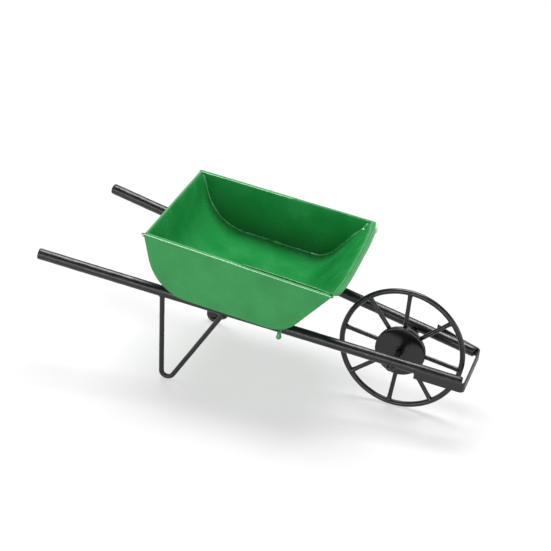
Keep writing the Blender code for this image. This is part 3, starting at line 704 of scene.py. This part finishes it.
def makeLegs(finish):
    for word, side, node in (("Right", -1, "leg_right"), ("Left", 1, "leg_left")):
        low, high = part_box(node)
        rear, nose = rodEnds("rail_" + word.lower())
        radius = leg["wire"] / 2
        rake, lean = math.radians(leg["rearRake"]), math.radians(leg["frontRake"])
        # the section is grown flat in the plane y = 0 and then laid out sideways to follow the rail
        centre = Vector((0, 0, radius + leg["bendRadius"]))
        down = Vector((math.sin(rake), 0, -math.cos(rake)))
        up = Vector((math.sin(lean), 0, math.cos(lean)))
        startBend = centre + Vector((-math.cos(rake), 0, -math.sin(rake))) * leg["bendRadius"]
        top = high.z + leg["overlap"] - startBend.z
        first = startBend - down * (top / math.cos(rake))
        endBend = centre + Vector((math.cos(lean), 0, -math.sin(lean))) * leg["bendRadius"]
        bm = bmesh.new()
        ring = startRing(bm, first, down, radius, leg["sides"])
        capRing(bm, ring)
        frontRise = leg["frontTop"] - endBend.z
        last = growAlong(bm, ring, [
            {"run": startBend - first, "steps": 20},
            {"centre": centre, "axis": (0, -1, 0), "angle": math.pi - rake - lean, "steps": 16},
            {"run": up * (frontRise / math.cos(lean)), "steps": 24},
        ])
        capRing(bm, last)
        shift = low.x - min(vert.co.x for vert in bm.verts if vert.co.z < high.z)
        rail = (nose - rear) / (nose.x - rear.x)
        for vert in bm.verts:
            vert.co.x += shift
            onRail = rear + rail * (vert.co.x - rear.x)
            toeIn = leg["toeIn"] * (1 - vert.co.z / onRail.z)
            rearTop = max(vert.co.z / high.z, 0) if vert.co.x < shift else 0
            vert.co.y += onRail.y - side * toeIn + side * leg["rearOut"] * rearTop
            vert.co.x += leg["rearForward"] * rearTop
        waver(bm, leg["unevenness"], leg["waveSize"], seed=side + 4)
        keepPiece("legWire" + word, bm, finish, "barrow", [node])
        for end, collar in collars.items():
            solderNode = "leg_solder_%s_%s" % (word.lower(), end)
            spot = middle(solderNode) + Vector(collar["shift"]) * mm
            name = "legSolder%s%s" % (word, end.capitalize())
            makeLump(name, spot, Vector(collar["size"]) * mm, solderNode, finish, seed=side + len(end))
        if side > 0:
            # the left foot's bend is filled with enamel
            spot = Vector((shift, 0, centre.z + footWeb["up"]))
            spot.y = rear.y + rail.y * (spot.x - rear.x) - side * leg["toeIn"]
            makeLump("footWeb" + word, spot, footWeb["size"], None, finish, seed=3)
    print("legs done")


bow = {"height": 2.9 * mm, "thickness": 0.5 * mm, "cornerRadius": 1.5 * mm, "drop": 0.8 * mm,
       "gap": 0.05 * mm, "leftRise": 1.7 * mm, "riseCurve": 1.5, "rounding": 0.12 * mm}


def makeBow(finish):
    low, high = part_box("front_bow")
    rearRight, noseRight = rodEnds("rail_right")
    rearLeft, noseLeft = rodEnds("rail_left")
    out = Vector((0, rod["diameter"] / 2 + bow["thickness"] / 2 + bow["gap"], 0))
    right = (noseRight - rearRight) / (noseRight.x - rearRight.x)
    left = (noseLeft - rearLeft) / (noseLeft.x - rearLeft.x)
    front = high.x - bow["thickness"] / 2
    frontLeft = noseLeft.x + front - noseRight.x
    corners = [rearRight + right * (low.x + bow["thickness"] - rearRight.x) - out,
               rearRight + right * (front - rearRight.x) - out,
               rearLeft + left * (frontLeft - rearLeft.x) + out,
               rearLeft + left * (low.x - rearLeft.x) + out]
    for corner in corners:
        corner.z = 0
    bm = bmesh.new()
    geom = [bm.verts.new(corners[0])]
    at = corners[0]
    for i in (1, 2):
        before = (corners[i] - corners[i - 1]).normalized()
        after = (corners[i + 1] - corners[i]).normalized()
        turn = before.angle(after)
        reach = bow["cornerRadius"] * math.tan(turn / 2)
        stop = corners[i] - before * reach
        inside = Vector((-before.y, before.x, 0))
        geom = growAlong(bm, geom, [
            {"run": stop - at, "steps": 14},
            {"centre": stop + inside * bow["cornerRadius"], "axis": (0, 0, 1), "angle": turn, "steps": 8},
        ])
        at = corners[i] + after * reach
    growAlong(bm, geom, [{"run": corners[3] - at, "steps": 14}])
    growAlong(bm, list(bm.verts) + list(bm.edges), [{"run": (0, 0, bow["height"]), "steps": 4}])
    for vert in bm.verts:
        rail = rearRight + right * (vert.co.x - rearRight.x)
        back = max(frontLeft - vert.co.x, 0) / (frontLeft - low.x)
        rise = bow["leftRise"] * back ** bow["riseCurve"] if vert.co.y > 0 else 0
        vert.co.z += rail.z - bow["drop"] - bow["height"] / 2 + rise
    strip = keepPiece("noseStrip", bm, finish, "barrow", ["front_bow"])
    sheetModifier(strip, bow["thickness"], offset=0.0, rounding=bow["rounding"])
    print("nose bow done")


axle = {"radius": 0.88 * mm, "steps": 30, "unevenness": 0.02 * mm, "waveSize": 1.2 * mm,
        "saddle": (1.7 * mm, 1.45 * mm, 1.0 * mm), "saddleUp": 0.55 * mm}
hub = {"bore": 1.5 * mm, "dish": 0.05 * mm, "softShare": 0.3, "turnSteps": 96, "tube": 1.6 * mm,
       "tubeBore": 1.05 * mm, "tubeSides": 40}
wheel = {"rimWire": 1.6 * mm, "rimSteps": 160, "spokeWire": 1.3 * mm, "spokes": 8, "spokeStart": 2.0 * mm,
         "spokeSunk": 0.35 * mm, "spokeSteps": 26, "weldSwell": 0.55, "weldLength": 0.45 * mm,
         "unevenness": 0.03 * mm, "rimWave": 1.8 * mm, "spokeWave": 1.3 * mm}


def makeAxle(finish):
    low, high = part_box("axle")
    centre, steps = (low + high) / 2, axle["steps"]
    path = [Vector((centre.x, low.y + (high.y - low.y) * k / steps, centre.z)) for k in range(steps + 1)]
    bm = bmesh.new()
    sweepBead(bm, path, [axle["radius"]] * len(path), sides=28)
    waver(bm, axle["unevenness"], axle["waveSize"], seed=1)
    keepPiece("axleWire", bm, finish, "barrow", ["axle"])
    for word, node in (("Right", "axle_solder_right"), ("Left", "axle_solder_left")):
        spot = middle(node) + Vector((0, 0, axle["saddleUp"]))
        makeLump("axleSolder" + word, spot, axle["saddle"], node, finish, seed=len(word))


def makeHubDiscs(finish, centre):
    # the disc's half section, from the bore over both rounded edges and back, turned once round
    for word, side, node in (("Right", -1, "hub_disc_right"), ("Left", 1, "hub_disc_left")):
        low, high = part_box(node)
        radius = (high.x - low.x) / 2
        outer, inner = (low.y, high.y) if side < 0 else (high.y, low.y)
        soft = abs(outer - inner) * hub["softShare"]
        flat = radius - hub["bore"] - soft
        outerBend = Vector((centre.x + radius - soft, outer - side * soft, centre.z))
        innerBend = Vector((centre.x + radius - soft, inner + side * soft, centre.z))
        bm = bmesh.new()
        bore = bm.verts.new((centre.x + hub["bore"], outer + side * hub["dish"], centre.z))
        edge = growAlong(bm, [bore], [
            {"run": (flat, -side * hub["dish"], 0), "steps": 8},
            {"centre": outerBend, "axis": (0, 0, -side), "angle": math.pi / 2, "steps": 5},
            {"run": (0, inner - outer + 2 * side * soft, 0), "steps": 1},
            {"centre": innerBend, "axis": (0, 0, -side), "angle": math.pi / 2, "steps": 5},
            {"run": (-flat, 0, 0), "steps": 4},
        ])
        last = [item for item in edge if isinstance(item, bmesh.types.BMVert)][0]
        bm.edges.new((last, bore))
        bmesh.ops.spin(bm, geom=list(bm.verts) + list(bm.edges), cent=centre, axis=(0, 1, 0), dvec=(0, 0, 0),
                       angle=2 * math.pi, steps=hub["turnSteps"], use_merge=True)
        keepPiece("hubDisc" + word, bm, finish, "wheel", [node])


def makeHubTube(finish, centre):
    low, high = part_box("hub_tube")
    bm = bmesh.new()
    near, far = [], []
    for radius in (hub["tube"], hub["tubeBore"]):
        ring = startRing(bm, (centre.x, low.y, centre.z), (0, 1, 0), radius, hub["tubeSides"])
        near += ring
        far += growAlong(bm, ring, [{"run": (0, high.y - low.y, 0), "steps": 8}])
    for end in (near, far):
        bmesh.ops.bridge_loops(bm, edges=[item for item in end if isinstance(item, bmesh.types.BMEdge)])
    keepPiece("hubTube", bm, finish, "wheel", ["hub_tube"])


def makeRim(finish, centre):
    low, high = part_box("wheel_rim")
    radius = (high.x - low.x - wheel["rimWire"]) / 2
    bm = bmesh.new()
    ring = startRing(bm, centre + Vector((radius, 0, 0)), (0, 0, 1), wheel["rimWire"] / 2, 28)
    bmesh.ops.spin(bm, geom=ring, cent=centre, axis=(0, 1, 0), dvec=(0, 0, 0), angle=2 * math.pi,
                   steps=wheel["rimSteps"], use_merge=True)
    waver(bm, wheel["unevenness"], wheel["rimWave"], seed=6)
    keepPiece("wheelRim", bm, finish, "wheel", ["wheel_rim"])
    return radius


def makeSpokes(finish, centre, rimRadius):
    start, end = wheel["spokeStart"], rimRadius - wheel["spokeSunk"]
    for index in range(wheel["spokes"]):
        node = "spoke_%d" % (index + 1)
        along = middle(node) - centre
        along.y = 0
        along.normalize()
        path, radii = [], []
        for k in range(wheel["spokeSteps"] + 1):
            reached = k / wheel["spokeSteps"]
            path.append(centre + along * (start + (end - start) * reached))
            weld = math.exp(-(end - start) * (1 - reached) / wheel["weldLength"])  # thicker at the rim
            radii.append(wheel["spokeWire"] / 2 * (1 + wheel["weldSwell"] * weld))
        bm = bmesh.new()
        sweepBead(bm, path, radii, sides=20)
        waver(bm, wheel["unevenness"], wheel["spokeWave"], seed=index)
        keepPiece("spokeWire%d" % (index + 1), bm, finish, "wheel", [node])
    print("wheel done")


makeCamera()
makeLights()
makeFloor()
paints = makeMaterials()
print("camera, lights, table and paints done")
makeRails(paints["black"])
trayPlace = trayFrame()
makeWrap(paints["green"], trayPlace)
makePlates(paints["green"], trayPlace)
makeSeams(paints["seam"], trayPlace)
makeRimHems(paints["green"], trayPlace)
makeLipHem(paints["green"], trayPlace)
makeCorners(paints["paintedReflection"], paints["solder"], trayPlace)
makeTraySupports(paints["green"])
makeLegs(paints["black"])
makeBow(paints["satin"])
makeAxle(paints["black"])
wheelCentre = middle("wheel_rim")
makeHubDiscs(paints["disc"], wheelCentre)
makeHubTube(paints["black"], wheelCentre)
makeSpokes(paints["black"], wheelCentre, makeRim(paints["black"], wheelCentre))
